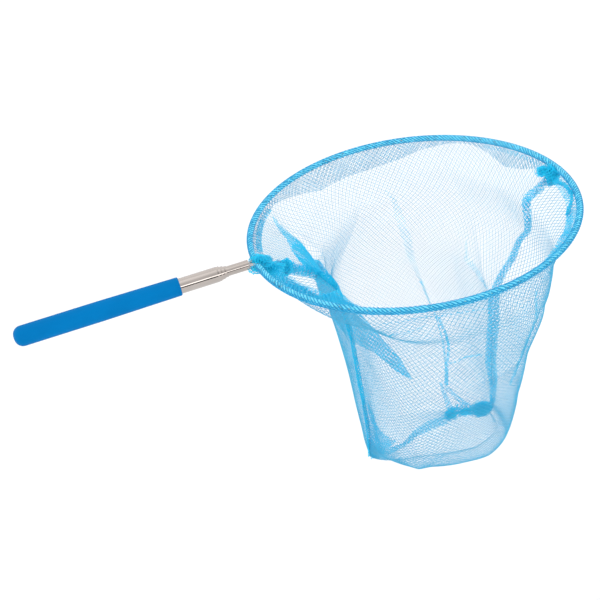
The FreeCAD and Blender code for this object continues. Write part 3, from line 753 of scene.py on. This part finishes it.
def crumple(centre, radii, seed, count, tilt=0.0):
    """Layers of mesh bunched into a lump: middle from the hoop's middle, and half sizes, in mm."""
    mean = sum(radii) / 3
    turning = np.array(Matrix.Rotation(math.radians(tilt), 3, "Y"))

    def place(across, down, lift):
        turn, rise = across / mean, np.clip(down / mean, 0.02, math.pi - 0.02)
        ball = np.stack([np.sin(rise) * np.cos(turn), np.sin(rise) * np.sin(turn), np.cos(rise)], -1)
        # A ball that is roughened by waves round it and over it
        rough = np.sin(2 * turn + seed) * np.sin(3 * rise + 2 * seed)
        rough += 0.7 * np.sin(5 * turn - 4 * rise + 3 * seed) + 0.5 * np.sin(9 * turn + 11 * rise)
        size = 0.85 + 0.16 * rough + lift
        return (ball * size[:, None] * radii) @ turning.T + (HOOP_X, 0, 0) + centre, ball

    round_it = 2 * math.pi * mean
    over_it = math.pi * mean
    region = [(0, 0), (round_it, 0), (round_it, over_it), (0, over_it)]
    return stacked(region, place, count, 0.0, GATHER_STEP, 0.21 * seed)


# For each lump: middle from the hoop's middle, half sizes, seed of its roughness, layers and tilt
LUMPS = [
    ("pole_gather", ["hoop_wire"], [
        ((-107.0, 0.0, -2.0), (9.0, 8.5, 6.5), 1, 5, 0),
        ((-101.0, -8.0, -3.5), (9.5, 8.0, 4.5), 2, 4, 10),
        ((-100.0, 8.0, -6.0), (4.0, 6.0, 3.0), 3, 3, 0),
        ((-91.0, -4.0, -8.0), (6.0, 5.0, 6.5), 4, 5, 20),
    ]),
    ("far_gather", ["hoop_wire"], [
        ((105.0, 0.5, -2.5), (7.0, 9.0, 5.0), 2, 8, 0),
        ((104.5, -2.5, -5.0), (5.5, 5.5, 6.5), 4, 7, 30),
        ((101.0, 4.5, -2.5), (6.0, 6.5, 3.5), 5, 5, 0),
    ]),
    ("floor_gather", ["floor_seam"], [
        ((40.0, 0.0, -192.0), (10.0, 5.0, 7.5), 3, 7, 8),
        ((26.0, 0.0, -189.0), (8.0, 4.0, 2.8), 4, 4, 12),
        ((14.0, 0.0, -186.5), (6.5, 4.0, 4.5), 5, 4, 0),
        ((-52.5, -1.0, -197.0), (3.0, 3.0, 5.0), 6, 3, 0),
    ]),
]
# The lumps are drawn in the folds' thread colour, painted light against the shade of their stacked layers
for name, rests_on, lumps in LUMPS:
    layers = []
    for centre, radii, seed, count, tilt in lumps:
        layers += crumple(centre, radii, seed, count, tilt)
    piece = net_piece(name, layers, GATHER_THREAD, painted_bright_thread)


# Floor, a good way below the hand-held net: matt white and 12 m wide
FLOOR_DEPTH = 0.42
FLOOR_SIZE = 12.0
bpy.ops.mesh.primitive_plane_add(size=FLOOR_SIZE, location=(0.1, 0.5, -FLOOR_DEPTH))
floor = bpy.context.object
floor.name = "floor"
floor_white, _ = new_material("floor_white", Base_Color=(0.9, 0.9, 0.9, 1.0), Roughness=0.9,
                              Specular_IOR_Level=0.0)
floor.data.materials.append(floor_white)

# The light of a white studio. Ways are measured from the front's horizon up over the top to the
# back's, as 0 to 1: a pale wall, a strip light, a dimmer ceiling and a pale back wall
STUDIO = [(0.0, 0.36), (0.06, 0.36), (0.07, 0.85), (0.125, 0.85), (0.145, 0.16), (0.3, 0.16),
          (0.45, 0.3), (0.7, 0.36), (1.0, 0.36)]
STUDIO_STRENGTH = 3.5
scene = bpy.context.scene
scene.view_settings.view_transform = "Standard"
world = bpy.data.worlds.new("studio")
scene.world = world
world.use_nodes = True
sky = world.node_tree.nodes["Background"]
ways = add(world, "ShaderNodeTexCoord")
parts = add(world, "ShaderNodeSeparateXYZ", {"Vector": ways.outputs["Generated"]})
front = add(world, "ShaderNodeMath", {0: parts.outputs["Y"], 1: -1.0}, operation="MULTIPLY")
rise = add(world, "ShaderNodeMath", {0: parts.outputs["Z"], 1: front.outputs["Value"]},
           operation="ARCTAN2")
share = add(world, "ShaderNodeMath", {0: rise.outputs["Value"], 1: math.pi}, operation="DIVIDE")
ramp = add(world, "ShaderNodeValToRGB", {"Fac": share.outputs["Value"]})
while len(ramp.color_ramp.elements) < len(STUDIO):
    ramp.color_ramp.elements.new(0.5)
for element, (place, shade) in zip(ramp.color_ramp.elements, STUDIO):
    element.position = place
    element.color = (shade, shade, shade, 1.0)
# A small dark card low in front of the pole, which draws the thin dark line along its tubes
beside = add(world, "ShaderNodeMath", {0: parts.outputs["X"]}, operation="ABSOLUTE")
spread = add(world, "ShaderNodeMapRange", {
    "Value": beside.outputs["Value"],
    "From Min": 0.2, "From Max": 0.3, "To Min": 0.05, "To Max": 1.0})
rising = add(world, "ShaderNodeMapRange", {
    "Value": share.outputs["Value"],
    "From Min": 0.063, "From Max": 0.068, "To Min": 0.0, "To Max": 1.0})
card = add(world, "ShaderNodeMath", {0: spread.outputs["Result"], 1: rising.outputs["Result"]},
           operation="MAXIMUM")
shade = add(world, "ShaderNodeVectorMath", {0: ramp.outputs["Color"], 1: card.outputs["Value"]},
            operation="MULTIPLY")
world.node_tree.links.new(shade.outputs["Vector"], sky.inputs["Color"])
sky.inputs["Strength"].default_value = STUDIO_STRENGTH

# One weak sun, so wide that its shadows are soft. It shines from above, from the front and a
# little from the pole's side
SUN_STRENGTH = 0.55
SUN_WIDTH = 90
SUN_FROM = (-0.5, -0.8, 1.6)
SUN_TO = (0.15, 0.0, 0.0)
bpy.ops.object.light_add(type="SUN", location=(0.0, 0.0, 2.0))
sun = bpy.context.object
sun.name = "soft_sun"
sun.data.energy = SUN_STRENGTH
sun.data.angle = math.radians(SUN_WIDTH)
sun.rotation_euler = (Vector(SUN_TO) - Vector(SUN_FROM)).to_track_quat("-Z", "Y").to_euler()
